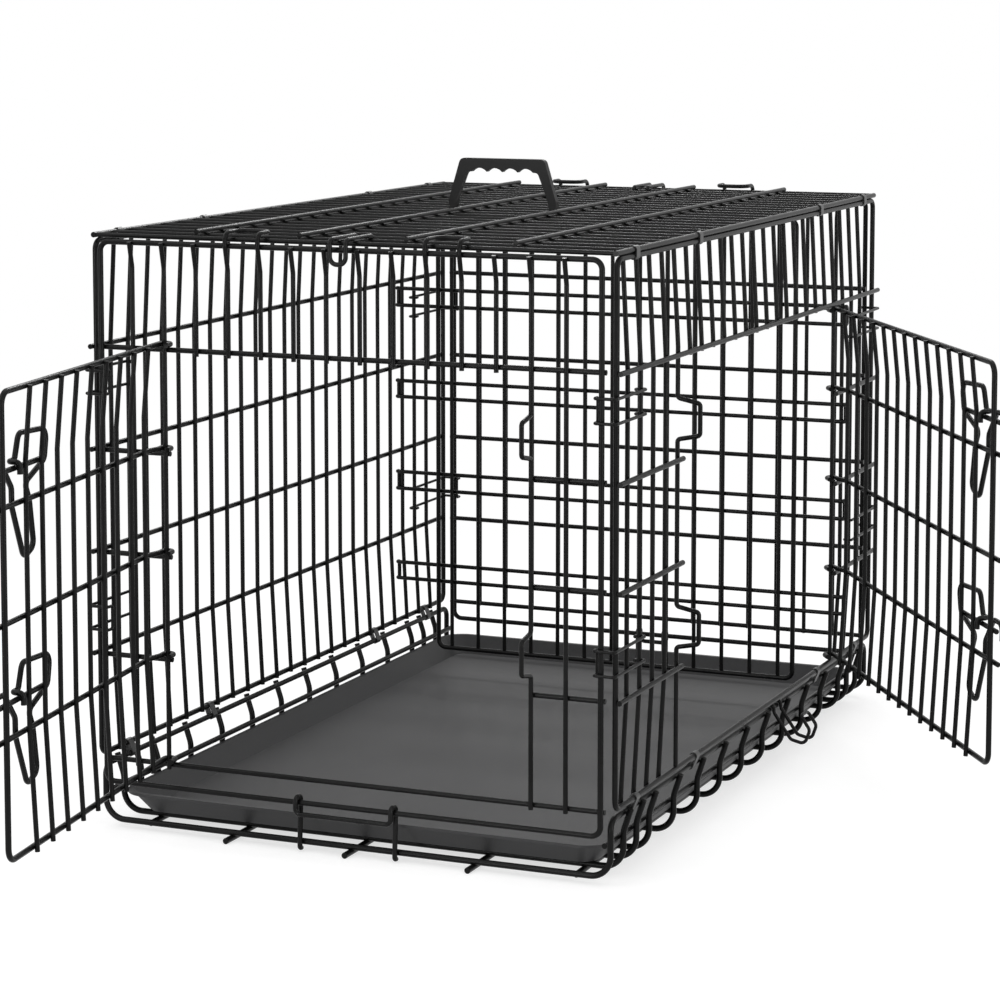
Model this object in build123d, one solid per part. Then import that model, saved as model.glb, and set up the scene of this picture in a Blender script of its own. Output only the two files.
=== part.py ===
"""Folding wire dog crate: welded wire panels, two doors with slide bolts, tray and divider.

Frame: X is the width, Y the length with the door end at -Y, Z up, origin on the floor at
the centre. Millimetres. Both doors are drawn closed and then turned to their open pose.
"""
import math
import os
from build123d import *

os.makedirs("parts", exist_ok=True)

# wire diameters
D_THIN = 5.0
D_FRAME = 6.0
D_ROW = 5.6
D_BASE = 6.6
D_LATCH = 5.6
D_CLIP = 3.4
D_STOP = 5.4
D_CLASP = 4.0
SINK = 0.1          # weld depth where two wires cross
GAP = 0.3           # running clearance

# overall layout
XS = 297.0          # side panel plane
YS = 455.0          # side panel end wires
YF = 465.0          # end panel plane
XF = 285.0          # end panel frame, half width
Z_TOP = 638.0       # top rails of the four walls
Z_END_LOW = 54.0    # bottom rail of the end panels
Z_SIDE_LOW = 80.0   # bottom rail of the side panels
Z_CAP = Z_TOP + D_FRAME + SINK   # rails of the top panel, on the side panels
FRAME_R = 10.0
END_PITCH = 38.0
SIDE_PITCH = 37.5
SIDE_FIRST = -425.0
SIDE_COUNT = 23
TOP_REACH = 456.0   # first and last wire of the top panel
TOP_COUNT = 26
END_LEAN_H = 26.0   # end uprights lean out to the top rail over this height
END_ROWS = [525.0, 414.0, 303.0, 192.0, 78.0]
SIDE_ROWS = [524.0, 413.0, 302.0, 191.0]

# doors
HINGE_COUNT = 2         # end uprights before the hinge, and before the catch
CATCH_COUNT = 13
SIDE_HINGE_COUNT = 19   # the same for the side
SIDE_CATCH_COUNT = 4
FRONT_DOOR_W = 404.0
SIDE_DOOR_W = 545.0
FRONT_OPEN = 82.0
SIDE_OPEN = 34.0
FRONT_DOOR_ROWS = [531.6, 420.6, 309.6, 198.6, 84.6]
SIDE_DOOR_ROWS = [515.6, 419.6, 308.6, 197.6, 88.6]
DOOR_R = 13.0           # corner bends of a door
DOOR_EDGE = 54.5        # free edge to the nearest upright
DOOR_HINGE = 30.0       # least room between the hinge and an upright
DOOR_FOOT = 4.0         # uprights standing below the bottom rail
EYE_R = D_THIN / 2 + GAP + D_ROW / 2
EYE_F = D_THIN / 2 + GAP + D_FRAME / 2
V_ROW = EYE_F + D_FRAME / 2 + D_ROW / 2 - SINK   # rows of a door, outside its frame
ROW_JOG = (8.0, 26.0)   # a row steps out to that plane between these distances from the hinge
GUIDE_UP = 34.0         # bolt guide above its row
GUIDE_LONG = 107.0
CATCH_UP = 36.0         # middle of a catch bend above its row
CATCH_OUT = 25.0
CATCH_H = 44.0

# base, tray, handle
Z_FLOOR_WIRE = D_BASE / 2
Z_CROSS = Z_FLOOR_WIRE + D_BASE - SINK
X_LEG = 299.0
LEG_R = 22.0
LEG_TOP_R = 12.0
LEG_RUN = 26.0
LEG_LEAN_R = 30.0
X_LOW = 292.0       # the legs' lower part, which leans out to X_LEG at the upper rail
Z_KNEE = 48.0
X_RAIL_LO = X_LOW - D_BASE / 2 - D_FRAME / 2 + SINK
Z_LEG_TOP = 72.0
Z_RAIL_HI = 69.0
Z_RAIL_LO = 42.0
LEG_SLANT = math.hypot(X_LEG - X_LOW, Z_RAIL_HI - Z_KNEE) / (Z_RAIL_HI - Z_KNEE)
X_RAIL = X_LEG - (D_BASE / 2 + D_FRAME / 2 - SINK) * LEG_SLANT
BASE_UNIT = 2 * YS / 12
FLOOR_X = {-248.0: -18.0, -140.0: 13.0, 0.0: 13.0, 140.0: 13.0, 248.0: -18.0}   # place, overhang
TRAY_X = 283.0
TRAY_Y = 447.0
TRAY_Z = Z_CROSS + D_BASE / 2 + GAP
TRAY_H = 24.0
TRAY_T = 2.4
TRAY_SLOPE = 18.0       # how far a wall leans out
TRAY_LIP = 3.0
BAR_X = [-182.5, -61.0, 61.0, 182.5]
HANDLE_X = -9.5
HANDLE_WIRE_COUNT = 12   # top wires before the one that carries the handle
CLIP_WIDE = 10.0
CLASP_Y = (64.2, 90.2)
LOW_CLIP_Y = [-398.0, -212.0, 232.0, 390.0]
HIGH_CLIP_Y = [-405.0, -212.0, 225.0, 408.0]
DIV_UPRIGHT_COUNT = 20   # side upright that the divider hooks
DIV_X = 241.0
DIV_LOW = 48.0
DIV_HIGH = 622.0
DIV_PAIRS = [(516.0, 494.0), (395.0, 374.0), (275.0, 253.0), (155.0, 134.0)]


def rod(a, b, d):
    """A straight wire from a to b."""
    path = Line(a, b)
    return sweep(Plane(origin=a, z_dir=path % 0) * Circle(d / 2), path=path)


def bent(points, d, r):
    """One wire through the points, with bends of radius r."""
    path = FilletPolyline(*points, radius=r)
    return sweep(Plane(origin=path @ 0, z_dir=path % 0) * Circle(d / 2), path=path)


def ring(points, d, r):
    """A closed wire through the points, with bends of radius r."""
    path = FilletPolyline(*points, radius=r, close=True)
    return sweep(Plane(origin=path @ 0, z_dir=path % 0) * Circle(d / 2), path=path)


def save(name, solids, place=None):
    """Write one node, as a compound of its wires."""
    found = []
    for s in solids:
        found += s.solids()
    if place is not None:
        found = [place * s for s in found]
    whole = Compound(children=found) if len(found) > 1 else found[0]
    export_step(whole, f"parts/{name}.step")
    print(name, len(found))


def turned_y(points, sign):
    """Points drawn for the front end, for the end given by sign."""
    return [(x, -sign * y, z) for x, y, z in points]


# base floor and its upturned sides
stations = [0, 0.5, 1, 1.5] + [2.5 + n for n in range(8)] + [10.5, 11, 11.5, 12]
stations = [-YS + BASE_UNIT * n for n in stations]
cross = []
lean = (X_LEG - X_LOW) / (Z_RAIL_HI - Z_KNEE)
x_tip = X_LOW + lean * (Z_LEG_TOP - Z_KNEE)
for y in stations[1:-1]:
    half = [(x_tip, Z_LEG_TOP), (X_LOW, Z_KNEE), (X_LOW, Z_CROSS)]
    pts = [(-x, y, z) for x, z in half] + [(x, y, z) for x, z in reversed(half)]
    cross.append(bent(pts, D_BASE, [LEG_LEAN_R, LEG_R, LEG_R, LEG_LEAN_R]))
for y in (stations[0], stations[-1]):
    # the two end wires turn along the side at their tops and meet the upper rail
    y_run = y - math.copysign(LEG_RUN, y)
    half = [(X_RAIL, y_run, Z_RAIL_HI), (X_RAIL, y, Z_RAIL_HI), (X_RAIL, y, Z_CROSS)]
    pts = [(-x, y, z) for x, y, z in half] + list(reversed(half))
    cross.append(bent(pts, D_BASE, [LEG_TOP_R, LEG_R, LEG_R, LEG_TOP_R]))
save("base_cross_wires", cross)
z_floor = Z_FLOOR_WIRE
long = [rod((x, -YS - e, z_floor), (x, YS + e, z_floor), D_BASE) for x, e in FLOOR_X.items()]
save("base_long_wires", long)
rails = []
y_rail = YS - LEG_RUN + SINK
for s in (-1, 1):
    rails.append(rod((s * X_RAIL, -y_rail, Z_RAIL_HI), (s * X_RAIL, y_rail, Z_RAIL_HI), D_FRAME))
    rails.append(rod((s * X_RAIL_LO, -YS, Z_RAIL_LO), (s * X_RAIL_LO, YS, Z_RAIL_LO), D_FRAME))
save("base_side_rails", rails)

# side panels: rows outside the upright wires, which lean in to the rails
side_y = [SIDE_FIRST + SIDE_PITCH * k for k in range(SIDE_COUNT)]
x_row = XS + D_FRAME / 2 + D_ROW / 2 - SINK
x_up = x_row - D_ROW / 2 - D_THIN / 2 + SINK
x_in = XS - D_FRAME / 2 - D_THIN / 2 + SINK
z_bend_hi = SIDE_ROWS[0]
z_bend_lo = SIDE_ROWS[-1]
y_hinge = side_y[SIDE_HINGE_COUNT]
y_catch = side_y[SIDE_CATCH_COUNT]


def side_upright(s, y, low):
    pts = [(x_in, Z_TOP + 1.5), (x_up, z_bend_hi), (x_up, z_bend_lo), (x_in, low)]
    return bent([(s * x, y, z) for x, z in pts], D_THIN, 12)


def catch_points(x, y, out, axis, low, high, rows_z):
    """An upright wire with two bends that stand out by out, one for each bolt."""
    pts = [(0.0, low)]
    reach = CATCH_H / 2
    for row in (rows_z[3], rows_z[1]):
        z = row + CATCH_UP
        pts += [(0.0, z - reach), (out, z - reach + 5), (out, z + reach - 5), (0.0, z + reach)]
    pts += [(0.0, high)]
    if axis == "x":
        return [(x + a, y, z) for a, z in pts]
    return [(x, y + a, z) for a, z in pts]


frame_pts = [(-YS, Z_SIDE_LOW), (YS, Z_SIDE_LOW), (YS, Z_TOP), (-YS, Z_TOP)]
for name, s in (("left", -1), ("right", 1)):
    save(f"{name}_panel_frame", [ring([(s * XS, y, z) for y, z in frame_pts], D_FRAME, FRAME_R)])
rows = [rod((-x_row, -YS - 4, z), (-x_row, YS + 8, z), D_ROW) for z in SIDE_ROWS]
save("left_panel_rows", rows)
save("left_panel_wires", [side_upright(-1, y, Z_SIDE_LOW - 1.5) for y in side_y])
rows = [rod((x_row, -YS - 4, SIDE_ROWS[0]), (x_row, YS + 8, SIDE_ROWS[0]), D_ROW)]
for z in SIDE_ROWS[1:]:
    rows.append(rod((x_row, -YS - 4, z), (x_row, y_catch + 4, z), D_ROW))
    rows.append(rod((x_row, y_hinge - 3, z), (x_row, YS + 8, z), D_ROW))
save("right_panel_rows", rows)
wires = []
low_end = Z_SIDE_LOW + D_FRAME / 2 - SINK
for k, y in enumerate(side_y):
    top = (x_in, y, Z_TOP + 1.5)
    if k == SIDE_HINGE_COUNT:
        wires.append(bent([top, (x_up, y, z_bend_hi), (x_up, y, low_end)], D_THIN, 12))
    elif k == SIDE_CATCH_COUNT:
        pts = catch_points(x_up, y, CATCH_OUT, "x", low_end, z_bend_hi + 8, SIDE_DOOR_ROWS)
        save("side_catch_wire", [bent(pts + [top], D_THIN, 4)])
    elif SIDE_CATCH_COUNT < k < SIDE_HINGE_COUNT:
        wires.append(bent([top, (x_up, y, z_bend_hi + 4), (x_up, y, z_bend_hi - 5)], D_THIN, 4))
    else:
        wires.append(side_upright(1, y, Z_SIDE_LOW - 1.5))
save("right_panel_wires", wires)

# end panels: rows inside, upright wires outside, two pairs rising over the top as loops
end_x = [-XF + END_PITCH * k for k in range(16)]
y_end_row = YF - D_FRAME / 2 - D_ROW / 2 + SINK
y_end_up = y_end_row + D_ROW / 2 + D_THIN / 2 - SINK
y_end_out = YF + D_FRAME / 2 + D_THIN / 2 - SINK
end_slope = (y_end_out - y_end_up) / END_LEAN_H
z_loop = Z_CAP + D_THIN + 3
z_up_low = END_ROWS[-1] - 4
LOOPS = [(4, 5), (10, 11)]
end_frame = [(-XF, Z_END_LOW), (XF, Z_END_LOW), (XF, Z_TOP), (-XF, Z_TOP)]


def end_loop(a, b, low, sign):
    xa = end_x[a]
    xb = end_x[b]
    y_tip = YF - 27
    rise = [(y_end_up, low), (y_end_up, Z_TOP - END_LEAN_H), (y_end_out, Z_TOP)]
    rise += [(y_end_out, z_loop), (y_tip, z_loop)]
    pts = [(xa, y, z) for y, z in rise] + [(xb, y, z) for y, z in reversed(rise)]
    bends = [12, 6, 9, 12]
    return bent(turned_y(pts, -sign), D_THIN, bends + list(reversed(bends)))


def end_upright(k, low, sign):
    x = end_x[k]
    pts = [(y_end_up, low), (y_end_up, Z_TOP - END_LEAN_H), (y_end_out + end_slope, Z_TOP + 1)]
    return bent(turned_y([(x, y, z) for y, z in pts], -sign), D_THIN, 12)


for name, s in (("front", -1), ("rear", 1)):
    save(f"{name}_panel_frame", [ring([(x, s * YF, z) for x, z in end_frame], D_FRAME, FRAME_R)])
looped = [k for pair in LOOPS for k in pair]
y = y_end_row
save("rear_panel_rows", [rod((-XF - 3, y, z), (XF + 3, y, z), D_ROW) for z in END_ROWS])
wires = [end_upright(k, z_up_low, 1) for k in range(1, 15) if k not in looped]
wires += [end_loop(a, b, z_up_low, 1) for a, b in LOOPS]
save("rear_panel_wires", wires)
y = -y_end_row
rows = [rod((-XF - 3, y, z), (XF + 3, y, z), D_ROW) for z in (END_ROWS[0], END_ROWS[-1])]
for z in END_ROWS[1:-1]:
    rows.append(rod((-XF - 3, y, z), (end_x[HINGE_COUNT] + 3, y, z), D_ROW))
    rows.append(rod((end_x[CATCH_COUNT] - 3, y, z), (XF + 3, y, z), D_ROW))
save("front_panel_rows", rows)
z_short = END_ROWS[0] - 5
wires = [end_upright(k, z_up_low, -1) for k in (1, HINGE_COUNT, 14)]
wires += [end_upright(k, z_short, -1) for k in range(HINGE_COUNT + 1, CATCH_COUNT) if k not in looped]
wires += [end_loop(a, b, z_short, -1) for a, b in LOOPS]
x_catch = end_x[CATCH_COUNT]
pts = catch_points(x_catch, -y_end_up, -CATCH_OUT, "y", z_up_low, Z_TOP - END_LEAN_H, FRONT_DOOR_ROWS)
pts += [(x_catch, -y_end_out - end_slope, Z_TOP + 1)]
save("front_catch_wire", [bent(pts, D_THIN, 4)])
save("front_panel_wires", wires)

# top panel
z_cap_wire = Z_CAP
x_cap_wire = XS - D_FRAME / 2 + SINK
z_bar = z_cap_wire + D_THIN / 2 + D_ROW / 2 - SINK
top_y = [TOP_REACH * (2 * k / (TOP_COUNT - 1) - 1) for k in range(TOP_COUNT)]
save("top_side_rails", [rod((x, -YS - 4, Z_CAP), (x, YS + 4, Z_CAP), D_FRAME) for x in (-XS, XS)])
wires = [rod((-x_cap_wire, y, z_cap_wire), (x_cap_wire, y, z_cap_wire), D_THIN) for y in top_y]
save("top_cross_wires", wires)
save("top_long_bars", [rod((x, -YS + 14, z_bar), (x, YS - 8, z_bar), D_ROW) for x in BAR_X])


# sheet metal hinge clips, each a band round two rails
def clip(a, b, y, wide):
    """A band round the rails at a and b (X, Z), wide along Y."""
    inner = D_FRAME / 2 + 0.05
    angle = math.degrees(math.atan2(b[1] - a[1], b[0] - a[0]))
    reach = math.hypot(b[0] - a[0], b[1] - a[1])
    band = SlotCenterToCenter(reach, 2 * (inner + 1.2)) - SlotCenterToCenter(reach, 2 * inner)
    mid = ((a[0] + b[0]) / 2, y + wide / 2, (a[1] + b[1]) / 2)
    along = (math.cos(math.radians(angle)), 0, math.sin(math.radians(angle)))
    return Plane(origin=mid, x_dir=along, z_dir=(0, -1, 0)) * extrude(band, wide)


for name, s in (("left", -1), ("right", 1)):
    low = [clip((s * X_RAIL, Z_RAIL_HI), (s * XS, Z_SIDE_LOW), y, CLIP_WIDE) for y in LOW_CLIP_Y]
    save(f"{name}_base_clips", low)
    high = [clip((s * XS, Z_TOP), (s * XS, Z_CAP), y, CLIP_WIDE) for y in HIGH_CLIP_Y]
    save(f"{name}_top_clips", high)

# corner clips: hooked on the end frame, round the corner, eyes on an upright of the side
CLIP_Z = [(500.0, 475.0), (245.0, 220.0)]
xo = x_up + D_THIN / 2 + D_CLIP / 2 + GAP
xi = x_up - D_THIN / 2 - D_CLIP / 2 - GAP
yo = YF + D_FRAME / 2 + D_CLIP / 2 + GAP
yi = YF - D_FRAME / 2 - D_CLIP / 2 - GAP
for end, sy in (("front", -1), ("rear", 1)):
    solids = []
    y_wire = side_y[1] if sy < 0 else side_y[21]
    ye = sy * y_wire - D_THIN / 2 - D_CLIP / 2 - GAP
    for sx in (-1, 1):
        for z1, z2 in CLIP_Z:
            half = [(xi, ye + 6.5), (xi, ye), (xo, ye), (xo, yo), (XF - 6, yo), (XF - 6, yi)]
            pts = [(sx * x, sy * y, z1) for x, y in half]
            pts += [(sx * x, sy * y, z2) for x, y in reversed(half)]
            solids.append(bent(pts, D_CLIP, 2.8))
    save(f"{end}_corner_clips", solids)


# doors, drawn closed in a door frame: u runs from the hinge to the free edge, v outward
def eye(z, r, far):
    """The end of a row curled round the hinge wire, its tail on the inner side."""
    tail = Line((far, -r, z), (0, -r, z))
    return [tail, ThreePointArc((0, -r, z), (-r, 0, z), (0, r, z))]


def door(width, rows_z, pitch):
    """A bent frame and rows with hinge eyes, and leaning upright wires, as (u, v, z) solids."""
    top = rows_z[0]
    low = rows_z[-1]
    tail = 2 * EYE_R
    corner = [(0, EYE_F, top), (width, EYE_F, top), (width, EYE_F, low), (0, EYE_F, low)]
    line = FilletPolyline(*corner, radius=DOOR_R)
    path = Wire(eye(top, EYE_F, tail) + line.edges() + eye(low, EYE_F, tail))
    frame = [sweep(Plane(origin=(tail, -EYE_F, top), z_dir=(-1, 0, 0)) * Circle(D_FRAME / 2), path=path)]
    rows = []
    for z in rows_z[1:-1]:
        step = [(0, EYE_R, z), (ROW_JOG[0], EYE_R, z), (ROW_JOG[1], V_ROW, z), (width + 9, V_ROW, z)]
        path = Wire(eye(z, EYE_R, tail) + FilletPolyline(*step, radius=DOOR_R).edges())
        rows.append(sweep(Plane(origin=(tail, -EYE_R, z), z_dir=(-1, 0, 0)) * Circle(D_ROW / 2), path=path))
    count = int((width - DOOR_EDGE - DOOR_HINGE) / pitch) + 1
    v_in = EYE_F - D_FRAME / 2 - D_THIN / 2 + SINK
    v_up = V_ROW - D_ROW / 2 - D_THIN / 2 + SINK
    v_foot = v_in - (v_up - v_in) * DOOR_FOOT / (rows_z[3] - low)
    z_lean = rows_z[1] + GUIDE_UP + D_ROW
    way = [(v_in, top + 1), (v_up, z_lean), (v_up, rows_z[3]), (v_foot, low - DOOR_FOOT)]
    us = [width - DOOR_EDGE - pitch * n for n in range(count)]
    thin = [bent([(u, v, z) for v, z in way], D_THIN, 12) for u in us]
    return frame, rows, thin


def latch(width, row_z):
    """A bolt bent from one wire, hung on its guide wire, and that guide."""
    v = V_ROW + D_ROW / 2 + GAP + D_LATCH / 2
    v_behind = V_ROW - D_ROW / 2 - GAP - D_LATCH / 2
    guide_z = row_z + GUIDE_UP
    hang = GUIDE_UP + D_ROW / 2 + GAP + D_LATCH / 2
    # distance in from the free edge, and height above the row, with the bend there
    way = [
        (-4, CATCH_UP - 12, 0),
        (-4, CATCH_UP + 6, 9),
        (21, CATCH_UP + 6, 9),
        (46, 14, 9),
        (46, -4, 9),
        (72, -58, 9),
        (96, -50, 9),
        (87, -4, 9),
        (77, 14, 6),
        (124, 30, 9),
        (131, 60, 11),
        (64, 64, 9),
        (54, hang, 4.5),
        (40, hang, 4.5),
    ]
    pts = [(width - a, v, row_z + b) for a, b, r in way]
    pts += [(width - 40, v_behind, row_z + hang), (width - 40, v_behind, guide_z - D_ROW)]
    wire = bent(pts, D_LATCH, [r for a, b, r in way[1:]] + [4.5])
    guide = rod((width + D_FRAME / 2, V_ROW, guide_z), (width - GUIDE_LONG, V_ROW, guide_z), D_ROW)
    return wire, guide


def door_place(origin, angle):
    """Door axes to the crate: u along the closed door, turned by angle about Z."""
    along = (math.cos(math.radians(angle)), math.sin(math.radians(angle)), 0)
    return Location(Plane(origin=origin, x_dir=along))


# front door: closed it runs to +X, and outward is -Y, so v is mirrored
def flip(solids):
    return [mirror(s, about=Plane.XZ) for s in solids]


frame, rows, thin = door(FRONT_DOOR_W, FRONT_DOOR_ROWS, END_PITCH)
place = door_place((end_x[HINGE_COUNT], -y_end_up, 0), -FRONT_OPEN)
save("front_door_frame", flip(frame), place)
save("front_door_rows", flip(rows), place)
save("front_door_wires", flip(thin), place)
guides = []
for tag, row in (("upper", FRONT_DOOR_ROWS[1]), ("lower", FRONT_DOOR_ROWS[3])):
    wire, guide = latch(FRONT_DOOR_W, row)
    save(f"front_latch_{tag}", flip([wire]), place)
    guides.append(guide)
save("front_door_guides", flip(guides), place)

# side door: closed it runs to -Y, and outward is +X
frame, rows, thin = door(SIDE_DOOR_W, SIDE_DOOR_ROWS, SIDE_PITCH)
place = door_place((x_up, y_hinge, 0), -90 + SIDE_OPEN)
save("side_door_frame", frame, place)
save("side_door_rows", rows, place)
save("side_door_wires", thin, place)
guides = []
for tag, row in (("upper", SIDE_DOOR_ROWS[1]), ("lower", SIDE_DOOR_ROWS[3])):
    wire, guide = latch(SIDE_DOOR_W, row)
    save(f"side_latch_{tag}", [wire], place)
    guides.append(guide)
save("side_door_guides", guides, place)

# tray: sloped walls, a raised lip and rounded corners
foot_x = TRAY_X - TRAY_SLOPE - TRAY_LIP
foot_y = TRAY_Y - TRAY_SLOPE - TRAY_LIP
mouth_x = TRAY_X - TRAY_LIP
mouth_y = TRAY_Y - TRAY_LIP
foot = RectangleRounded(2 * foot_x, 2 * foot_y, 20)
mouth = RectangleRounded(2 * mouth_x, 2 * mouth_y, 28)
outer = loft([Pos(0, 0, TRAY_Z) * foot, Pos(0, 0, TRAY_Z + TRAY_H) * mouth])
foot_in = RectangleRounded(2 * (foot_x - TRAY_T), 2 * (foot_y - TRAY_T), 18)
mouth_in = RectangleRounded(2 * (mouth_x - TRAY_T), 2 * (mouth_y - TRAY_T), 26)
inner = loft([Pos(0, 0, TRAY_Z + TRAY_T) * foot_in, Pos(0, 0, TRAY_Z + TRAY_H) * mouth_in])
edge = RectangleRounded(2 * TRAY_X, 2 * TRAY_Y, 31) - mouth_in
tray = outer - inner + Pos(0, 0, TRAY_Z + TRAY_H - 3) * extrude(edge, 3)
save("tray", [tray])

# carry handle: a flat grip with finger scallops, its feet turning on a top wire
HANDLE_T = 8.0
HANDLE_TOP = 64.5        # above the wire it turns on
GRIP_LOW = 48.9          # inner edge between the scallops
GRIP_X = 44.4
SCALLOP_PITCH = 19.3
SCALLOP_R = 12.8
FOOT_IN = 59.9
FOOT_OUT = 67.2
half = [(FOOT_IN, -5), (FOOT_OUT, -5), (FOOT_OUT, 16), (52.6, HANDLE_TOP)]
inner = [(-FOOT_IN, -5), (-57, 16), (-GRIP_X, GRIP_LOW), (GRIP_X, GRIP_LOW), (57, 16)]
side = half + [(-x, y) for x, y in reversed(half[1:])] + inner
plate = make_face(Polyline(*side, close=True))
plate = fillet([v for v in plate.vertices() if v.Y > HANDLE_TOP - 1], 6.5)
plate = fillet([v for v in plate.vertices() if abs(v.Y - GRIP_LOW) < 0.1], 5)
for n in range(4):
    plate -= Pos((n - 1.5) * SCALLOP_PITCH, GRIP_LOW + 4.4 - SCALLOP_R) * Circle(SCALLOP_R)
handle = extrude(plate, HANDLE_T / 2, both=True)
foot_mid = (FOOT_IN + FOOT_OUT) / 2
for x in (-foot_mid, foot_mid):
    handle += Pos(x, 0, 0) * Rot(0, 90, 0) * Cylinder(5.5, FOOT_OUT - FOOT_IN)
handle -= Rot(0, 90, 0) * Cylinder(D_THIN / 2 + GAP, 200)
save("handle", [Pos(HANDLE_X, top_y[HANDLE_WIRE_COUNT], z_cap_wire) * Rot(90, 0, 0) * handle])

# front tray stop, curled over the bottom rail and hooked under the base's front wire
r = D_FRAME / 2 + D_STOP / 2 + 2 * GAP
z_hook = Z_CROSS - D_BASE / 2 - D_STOP / 2 - SINK
y_down = -YS - D_BASE / 2 - D_STOP / 2 - 2 * GAP
half = [(-YF - r, Z_END_LOW - 11), (-YF - r, Z_END_LOW + r), (-YF + r, Z_END_LOW + r)]
half += [(y_down, z_hook), (y_down + 3.5, z_hook)]
pts = [(-55, y, z) for y, z in reversed(half)] + [(55, y, z) for y, z in half]
save("tray_stop", [bent(pts, D_STOP, [2.8, 5, 5, 6, 6, 5, 5, 2.8])])

# rear hook that ties the rear panel's bottom rail to the base
pts = [(-18, -y, z) for y, z in reversed(half)] + [(18, -y, z) for y, z in half]
save("rear_base_hook", [bent(pts, D_STOP, [2.8, 5, 5, 6, 6, 5, 5, 2.8])])

# top hooks: hooked on the second top wire, hanging in front of the end panel's top rail
h = D_THIN + 0.4
for name, s, wire_y in (("front_top_hook", -1, top_y[1]), ("rear_top_hook", 1, top_y[-2])):
    back = abs(wire_y) - h
    front = y_end_out + D_THIN + 0.8
    half = [(back, z_cap_wire - 3), (back, z_cap_wire + h), (front, z_cap_wire + h), (front, Z_TOP - 14)]
    pts = [(-9, s * y, z) for y, z in half] + [(9, s * y, z) for y, z in reversed(half)]
    save(name, [bent(pts, D_THIN, [3, 6, 8, 8, 6, 3])])

# carry clasp, hung on the upper base rail between two legs and standing out from it
r = D_FRAME / 2 + D_CLASP / 2 + GAP
half = [(-r, -2), (-r, r), (r, r), (r, -3), (26, -33), (43, -37), (49, -20), (38, -4)]
half = [(X_RAIL + x, Z_RAIL_HI + z) for x, z in half]
pts = [(x, CLASP_Y[0], z) for x, z in half] + [(x, CLASP_Y[1], z) for x, z in reversed(half)]
bends = [4.8, 4.8, 6, 7, 7, 7, 6]
save("carry_clasp", [bent(pts, D_CLASP, bends + list(reversed(bends)))])

# divider: a framed grille whose paired rows hook the uprights of both sides
y_pair = side_y[DIV_UPRIGHT_COUNT] - D_THIN - GAP
DIV_Y = y_pair - D_FRAME / 2 - D_THIN / 2 + SINK
y_hook = y_pair + 6.5
x_hook = x_up + D_THIN + GAP
box = [(-DIV_X, DIV_LOW), (DIV_X, DIV_LOW), (DIV_X, DIV_HIGH), (-DIV_X, DIV_HIGH)]
save("divider_frame", [ring([(x, DIV_Y, z) for x, z in box], D_FRAME, FRAME_R)])
loops = []
for hi, lo in DIV_PAIRS:
    pts = [(x_hook, y_pair, hi), (x_hook, y_hook, hi), (x_hook, y_hook, lo), (x_hook, y_pair, lo)]
    pts += [(-x, y, z) for x, y, z in reversed(pts)]
    loops.append(ring(pts, D_THIN, 2.6))
save("divider_rows", loops)
inset = D_FRAME / 2 - SINK
xs = [(n - 6) * 37.0 for n in range(13)]
xs = [x for x in xs if abs(x) < DIV_X - 10]
save("divider_wires", [rod((x, DIV_Y, DIV_LOW + inset), (x, DIV_Y, DIV_HIGH - inset), D_THIN) for x in xs])
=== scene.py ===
"""Studio scene of a folding wire dog crate: finishes for its wires, tray and handle, and a white set."""
import math

import bmesh
import bpy
from mathutils import Matrix, Vector

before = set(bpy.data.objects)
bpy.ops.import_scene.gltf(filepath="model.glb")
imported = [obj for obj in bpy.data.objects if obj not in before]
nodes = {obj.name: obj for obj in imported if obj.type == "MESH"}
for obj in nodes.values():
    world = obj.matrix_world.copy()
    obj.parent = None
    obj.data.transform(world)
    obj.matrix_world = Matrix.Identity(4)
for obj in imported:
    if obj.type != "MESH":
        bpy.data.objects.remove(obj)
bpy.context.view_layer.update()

# camera, fitted to the wires in the photograph
YAW = -0.4001
PITCH = 0.1024
CAMERA_PLACE = (1.3676, -3.2842, 0.9083)
FOCAL_PIXELS = 3065.4
PICTURE_WIDTH = 1000
SENSOR = 36.0
SHIFT_Y = -0.2

# set
FLOOR_HALF = 9.0
FLOOR_TONE = 0.9
SHADOW_TONE = 0.42
SHADOW_LIFT = 0.66
SHADOW_NEAR = 0.75
SHADOW_FAR = 1.5
ROOM_LIGHT = 0.55
FAR_CLIP = 50

# soft boxes: name, place, target, width and height, watts
LAMPS = [
    ("key_soft_box", (-1.6, -2.6, 3.2), (0, 0, 0.3), (2.4, 2.4), 44),
    ("fill_soft_box", (2.8, -1.6, 2.2), (0, 0, 0.3), (2.4, 2.4), 24),
    ("top_soft_box", (0, 0.6, 3.6), (0, 0, 0.3), (3.0, 3.0), 26),
    ("front_strip", (-0.9, -3.7, 0.5), (0, 0, 0.35), (0.3, 1.0), 26),
    ("side_strip", (3.4, -1.5, 0.5), (0, 0, 0.35), (0.3, 1.0), 26),
    ("back_strip", (-0.6, 2.6, 2.4), (0, 0, 0.6), (1.6, 0.3), 26),
]

# finishes: share of fine grain in the mask, and the parts of the mask that tones and roughness span
FINE_SHARE = 0.35
TONE_SPAN = (0.45, 0.95)
ROUGH_SPAN = (0.4, 1.0)


def shader_group(name, inputs, outputs):
    """An empty node group with float inputs and the named outputs."""
    group = bpy.data.node_groups.new(name, "ShaderNodeTree")
    for label, value in inputs:
        socket = group.interface.new_socket(label, in_out="INPUT", socket_type="NodeSocketFloat")
        socket.default_value = value
    for label, kind in outputs:
        group.interface.new_socket(label, in_out="OUTPUT", socket_type=kind)
    start = group.nodes.new("NodeGroupInput")
    end = group.nodes.new("NodeGroupOutput")
    return group, start, end


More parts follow.
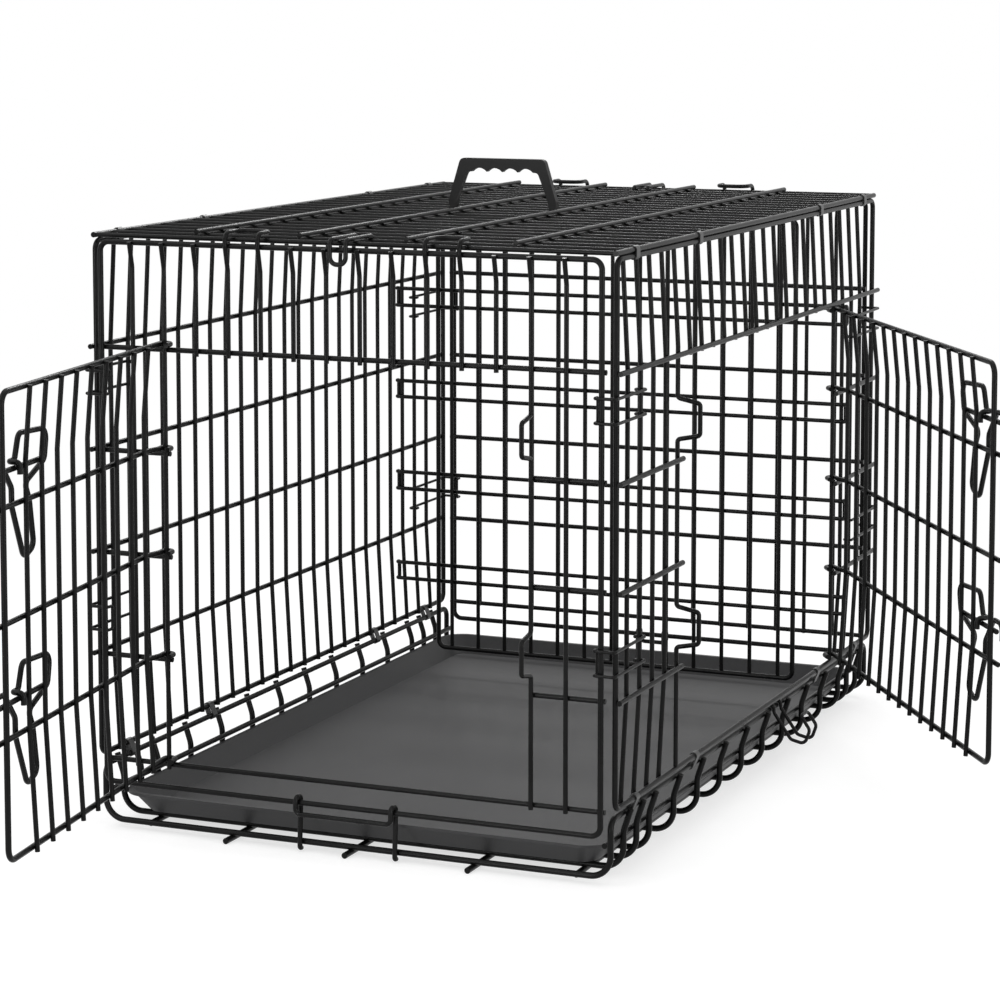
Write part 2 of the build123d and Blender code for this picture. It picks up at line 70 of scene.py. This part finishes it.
def make_coat_grain():
    """Orange peel of a dipped or moulded surface: a mask for colour and roughness, and a fine height."""
    inputs = [("Broad Scale", 9.0), ("Fine Scale", 420.0)]
    outputs = [("Mask", "NodeSocketFloat"), ("Height", "NodeSocketFloat")]
    group, start, end = shader_group("coat_grain", inputs, outputs)
    tree = group.nodes
    link = group.links.new
    coords = tree.new("ShaderNodeTexCoord")
    broad = tree.new("ShaderNodeTexNoise")
    broad.inputs["Detail"].default_value = 3.0
    fine = tree.new("ShaderNodeTexNoise")
    fine.inputs["Detail"].default_value = 2.0
    link(coords.outputs["Object"], broad.inputs["Vector"])
    link(coords.outputs["Object"], fine.inputs["Vector"])
    link(start.outputs["Broad Scale"], broad.inputs["Scale"])
    link(start.outputs["Fine Scale"], fine.inputs["Scale"])
    both = tree.new("ShaderNodeMath")
    both.operation = "MULTIPLY_ADD"
    both.inputs[1].default_value = FINE_SHARE
    link(fine.outputs["Fac"], both.inputs[0])
    link(broad.outputs["Fac"], both.inputs[2])
    link(both.outputs[0], end.inputs["Mask"])
    link(fine.outputs["Fac"], end.inputs["Height"])
    return group


COAT_GRAIN = make_coat_grain()


def finish(name, dark, light, rough, bump, scales, specular):
    """A coated or moulded finish: two close tones, a roughness range and a fine bump."""
    mat = bpy.data.materials.new(name)
    mat.use_nodes = True
    tree = mat.node_tree
    body = tree.nodes["Principled BSDF"]
    body.inputs["Specular IOR Level"].default_value = specular
    grain = tree.nodes.new("ShaderNodeGroup")
    grain.node_tree = COAT_GRAIN
    grain.inputs["Broad Scale"].default_value = scales[0]
    grain.inputs["Fine Scale"].default_value = scales[1]
    tone = tree.nodes.new("ShaderNodeValToRGB")
    for stop, place, colour in zip(tone.color_ramp.elements, TONE_SPAN, (dark, light)):
        stop.position = place
        stop.color = (*colour, 1)
    spread = tree.nodes.new("ShaderNodeMapRange")
    spread.inputs["From Min"].default_value = ROUGH_SPAN[0]
    spread.inputs["From Max"].default_value = ROUGH_SPAN[1]
    spread.inputs["To Min"].default_value = rough[0]
    spread.inputs["To Max"].default_value = rough[1]
    relief = tree.nodes.new("ShaderNodeBump")
    relief.inputs["Strength"].default_value = bump[0]
    relief.inputs["Distance"].default_value = bump[1]
    link = tree.links.new
    link(grain.outputs["Mask"], tone.inputs["Fac"])
    link(grain.outputs["Mask"], spread.inputs["Value"])
    link(tone.outputs["Color"], body.inputs["Base Color"])
    link(spread.outputs["Result"], body.inputs["Roughness"])
    link(grain.outputs["Height"], relief.inputs["Height"])
    link(relief.outputs["Normal"], body.inputs["Normal"])
    return mat


WIRE_COAT = finish(
    "black_wire_coat",
    dark=(0.003, 0.003, 0.003),
    light=(0.007, 0.007, 0.007),
    rough=(0.24, 0.34),
    bump=(0.12, 0.0002),
    scales=(14, 900),
    specular=0.1,
)
LATCH_COAT = finish(
    "black_latch_coat",
    dark=(0.003, 0.003, 0.003),
    light=(0.008, 0.008, 0.008),
    rough=(0.22, 0.32),
    bump=(0.1, 0.0002),
    scales=(30, 900),
    specular=0.12,
)
# the clips' tones, lighter than the wire coat, are a painted highlight for faces turned up and right
# towards the lamps; their higher specular and roughness belong to the coat itself
CLIP_COAT_WITH_PAINTED_HIGHLIGHT = finish(
    "clip_coat_with_painted_highlight",
    dark=(0.01, 0.01, 0.01),
    light=(0.03, 0.03, 0.03),
    rough=(0.3, 0.45),
    bump=(0.15, 0.0002),
    scales=(60, 1200),
    specular=0.5,
)
TRAY_PLASTIC = finish(
    "charcoal_tray_plastic",
    dark=(0.021, 0.021, 0.022),
    light=(0.036, 0.036, 0.037),
    rough=(0.45, 0.6),
    bump=(0.25, 0.0003),
    scales=(5, 700),
    specular=0.3,
)
GRIP_PLASTIC = finish(
    "black_grip_plastic",
    dark=(0.004, 0.004, 0.004),
    light=(0.01, 0.01, 0.01),
    rough=(0.35, 0.5),
    bump=(0.2, 0.0002),
    scales=(40, 1400),
    specular=0.18,
)


def dress(obj, mat):
    obj.data.materials.clear()
    obj.data.materials.append(mat)


for name, obj in nodes.items():
    if name == "tray":
        dress(obj, TRAY_PLASTIC)
    elif name == "handle":
        dress(obj, GRIP_PLASTIC)
    elif name.endswith(("base_clips", "top_clips")):
        dress(obj, CLIP_COAT_WITH_PAINTED_HIGHLIGHT)
    elif "latch" in name or name.endswith(("hook", "stop", "clasp")):
        dress(obj, LATCH_COAT)
    else:
        dress(obj, WIRE_COAT)


def seen_rays(tree):
    """A value of 1 for the rays that show the background: camera, glossy and transmission."""
    rays = tree.nodes.new("ShaderNodeLightPath")
    value = rays.outputs["Is Camera Ray"]
    for label in ("Is Glossy Ray", "Is Transmission Ray"):
        either = tree.nodes.new("ShaderNodeMath")
        either.operation = "MAXIMUM"
        tree.links.new(value, either.inputs[0])
        tree.links.new(rays.outputs[label], either.inputs[1])
        value = either.outputs[0]
    return value


def make_floor():
    """White paper: plain white far off, and near the object lifted so that only its shadow darkens it."""
    mat = bpy.data.materials.new("white_paper")
    mat.use_nodes = True
    tree = mat.node_tree
    tree.nodes.clear()
    link = tree.links.new
    plain = tree.nodes.new("ShaderNodeBsdfDiffuse")
    plain.inputs["Color"].default_value = (FLOOR_TONE, FLOOR_TONE, FLOOR_TONE, 1)
    shade = tree.nodes.new("ShaderNodeBsdfDiffuse")
    shade.inputs["Color"].default_value = (SHADOW_TONE, SHADOW_TONE, SHADOW_TONE, 1)
    lift = tree.nodes.new("ShaderNodeEmission")
    lift.inputs["Strength"].default_value = SHADOW_LIFT
    white = tree.nodes.new("ShaderNodeEmission")
    white.inputs["Strength"].default_value = 1.0
    caught = tree.nodes.new("ShaderNodeAddShader")
    link(shade.outputs[0], caught.inputs[0])
    link(lift.outputs[0], caught.inputs[1])
    coords = tree.nodes.new("ShaderNodeTexCoord")
    far = tree.nodes.new("ShaderNodeVectorMath")
    far.operation = "LENGTH"
    link(coords.outputs["Object"], far.inputs[0])
    fade = tree.nodes.new("ShaderNodeMapRange")
    fade.interpolation_type = "SMOOTHSTEP"
    fade.inputs["From Min"].default_value = SHADOW_NEAR
    fade.inputs["From Max"].default_value = SHADOW_FAR
    link(far.outputs["Value"], fade.inputs["Value"])
    shown = tree.nodes.new("ShaderNodeMixShader")
    link(fade.outputs["Result"], shown.inputs[0])
    link(caught.outputs[0], shown.inputs[1])
    link(white.outputs[0], shown.inputs[2])
    both = tree.nodes.new("ShaderNodeMixShader")
    link(seen_rays(tree), both.inputs[0])
    link(plain.outputs[0], both.inputs[1])
    link(shown.outputs[0], both.inputs[2])
    out = tree.nodes.new("ShaderNodeOutputMaterial")
    link(both.outputs[0], out.inputs["Surface"])
    mesh = bpy.data.meshes.new("studio_floor")
    bm = bmesh.new()
    bmesh.ops.create_grid(bm, x_segments=1, y_segments=1, size=FLOOR_HALF)
    bm.to_mesh(mesh)
    bm.free()
    floor = bpy.data.objects.new("studio_floor", mesh)
    bpy.context.scene.collection.objects.link(floor)
    dress(floor, mat)


def make_room():
    """White for the rays that show the background, and an even, dimmer light for the rest."""
    world = bpy.data.worlds.new("white_room")
    bpy.context.scene.world = world
    world.use_nodes = True
    tree = world.node_tree
    tree.nodes.clear()
    shown = tree.nodes.new("ShaderNodeBackground")
    shown.inputs["Color"].default_value = (1, 1, 1, 1)
    shown.inputs["Strength"].default_value = 1.0
    lit = tree.nodes.new("ShaderNodeBackground")
    lit.inputs["Color"].default_value = (1, 1, 1, 1)
    lit.inputs["Strength"].default_value = ROOM_LIGHT
    mix = tree.nodes.new("ShaderNodeMixShader")
    out = tree.nodes.new("ShaderNodeOutputWorld")
    tree.links.new(seen_rays(tree), mix.inputs[0])
    tree.links.new(lit.outputs[0], mix.inputs[1])
    tree.links.new(shown.outputs[0], mix.inputs[2])
    tree.links.new(mix.outputs[0], out.inputs["Surface"])


def soft_box(name, place, target, size, watts):
    """A lamp of the given width and height, aimed at target."""
    lamp = bpy.data.lights.new(name, "AREA")
    lamp.shape = "RECTANGLE"
    lamp.size = size[0]
    lamp.size_y = size[1]
    lamp.energy = watts
    obj = bpy.data.objects.new(name, lamp)
    obj.location = place
    obj.rotation_euler = (Vector(target) - Vector(place)).to_track_quat("-Z", "Y").to_euler()
    bpy.context.scene.collection.objects.link(obj)


def place_camera():
    ahead = Vector((math.sin(YAW) * math.cos(PITCH), math.cos(YAW) * math.cos(PITCH), -math.sin(PITCH)))
    right = Vector((math.cos(YAW), -math.sin(YAW), 0))
    up = right.cross(ahead)
    lens = bpy.data.cameras.new("photo_camera")
    lens.sensor_width = SENSOR
    lens.lens = FOCAL_PIXELS * SENSOR / PICTURE_WIDTH
    lens.shift_y = SHIFT_Y
    lens.clip_end = FAR_CLIP
    camera = bpy.data.objects.new("photo_camera", lens)
    turn = Matrix((right, up, -ahead)).transposed().to_4x4()
    camera.matrix_world = Matrix.Translation(CAMERA_PLACE) @ turn
    bpy.context.scene.collection.objects.link(camera)
    bpy.context.scene.camera = camera


make_floor()
make_room()
for lamp_row in LAMPS:
    soft_box(*lamp_row)
place_camera()
bpy.context.scene.view_settings.view_transform = "Standard"
